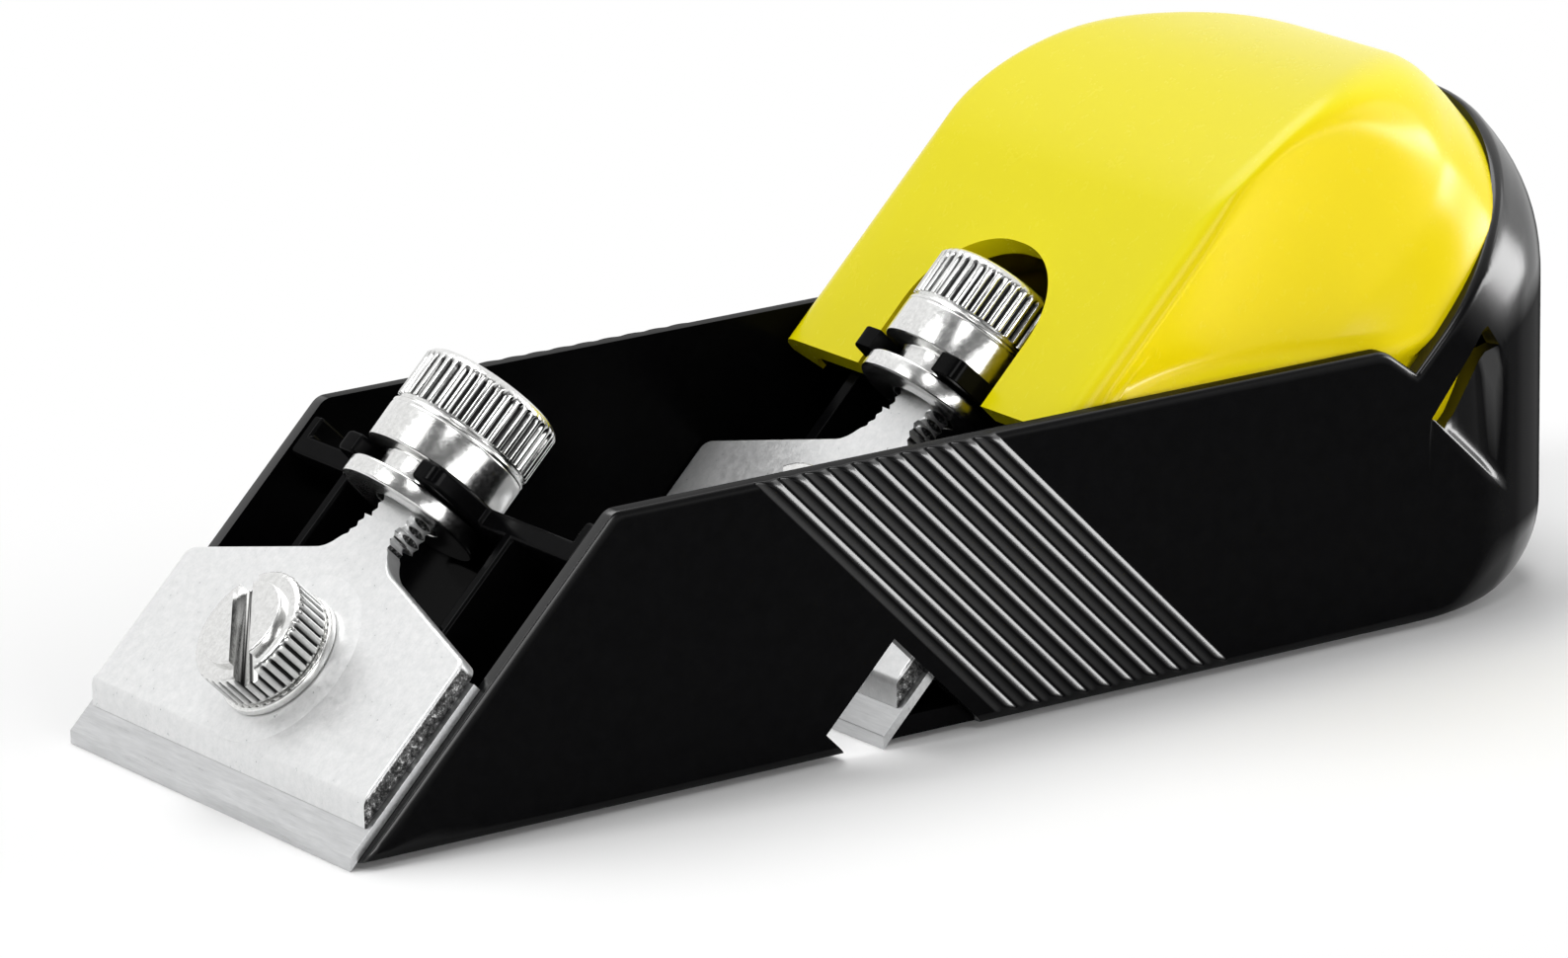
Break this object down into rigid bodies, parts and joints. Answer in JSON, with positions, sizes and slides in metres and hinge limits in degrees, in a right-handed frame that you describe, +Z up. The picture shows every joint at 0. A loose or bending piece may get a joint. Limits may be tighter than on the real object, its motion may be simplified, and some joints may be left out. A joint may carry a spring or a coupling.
{
  "type": "rebate plane",
  "caption": "Small pressed-steel rebate and bullnose plane with toe and middle blade beds, knurled depth adjusters, lock screws and a snap-in palm grip.",
  "frame": {"origin": "middle of the sole's lower face", "axes": "+X towards the toe along the sole, +Y to the left side wall, +Z up from the sole"},
  "size_m": [0.1507, 0.0532, 0.0558],
  "materials": {
    "black_paint": "gloss black enamel",
    "black_sheet": "gloss black enamel",
    "yellow_plastic": "moulded gloss yellow",
    "cast_zinc": "pale grey fine cast zinc",
    "ground_steel": "ground",
    "plated_steel": "dull plated",
    "bright_nickel": "bright nickel plate"
  },
  "bodies": {
    "body": {"body_shell": "black_paint", "palm_grip": "yellow_plastic", "front_frog": "black_sheet", "front_lock_bush": "plated_steel", "middle_frog": "black_sheet", "middle_lock_bush": "plated_steel"},
    "front_adjuster": {"front_nut": "bright_nickel"},
    "front_carriage": {"front_holder": "cast_zinc", "front_blade": "ground_steel"},
    "front_washer": {"front_lock_washer": "bright_nickel"},
    "front_screw": {"front_lock_screw": "bright_nickel"},
    "middle_adjuster": {"middle_nut": "bright_nickel"},
    "middle_carriage": {"middle_holder": "cast_zinc", "middle_blade": "ground_steel"},
    "middle_washer": {"middle_lock_washer": "bright_nickel"},
    "middle_screw": {"middle_lock_screw": "bright_nickel"}
  },
  "joints": [
    {"name": "front_nut_turn", "type": "hinge", "parent": "body", "child": "front_adjuster", "pos_m": [0.05025, 0, 0.02616], "axis": [-0.7071, 0, 0.7071], "range_deg": [-540, 216]},
    {"name": "front_blade_slide", "type": "slide", "parent": "body", "child": "front_carriage", "axis": [0.7071, 0, -0.7071], "range_m": [-0.0015, 0.0006]},
    {"name": "front_screw_turn", "type": "hinge", "parent": "front_washer", "child": "front_screw", "pos_m": [0.06828, 0, 0.01379], "axis": [0.7071, 0, 0.7071], "range_deg": [0, 617.2]},
    {"name": "front_washer_lift", "type": "slide", "parent": "body", "child": "front_washer", "axis": [0.7071, 0, 0.7071], "range_m": [0, 0.0012]},
    {"name": "middle_nut_turn", "type": "hinge", "parent": "body", "child": "middle_adjuster", "pos_m": [-0.01075, 0, 0.02616], "axis": [-0.7071, 0, 0.7071], "range_deg": [-540, 216]},
    {"name": "middle_blade_slide", "type": "slide", "parent": "body", "child": "middle_carriage", "axis": [0.7071, 0, -0.7071], "range_m": [-0.0015, 0.0006]},
    {"name": "middle_screw_turn", "type": "hinge", "parent": "middle_washer", "child": "middle_screw", "pos_m": [0.00728, 0, 0.01379], "axis": [0.7071, 0, 0.7071], "range_deg": [0, 617.2]},
    {"name": "middle_washer_lift", "type": "slide", "parent": "body", "child": "middle_washer", "axis": [0.7071, 0, 0.7071], "range_m": [0, 0.0012]}
  ],
  "couplings": [
    {"joint": "front_nut_turn", "follows": "front_blade_slide", "rad_per_m": 6283.2},
    {"joint": "front_screw_turn", "follows": "front_washer_lift", "rad_per_m": 8976},
    {"joint": "middle_nut_turn", "follows": "middle_blade_slide", "rad_per_m": 6283.2},
    {"joint": "middle_screw_turn", "follows": "middle_washer_lift", "rad_per_m": 8976}
  ]
}
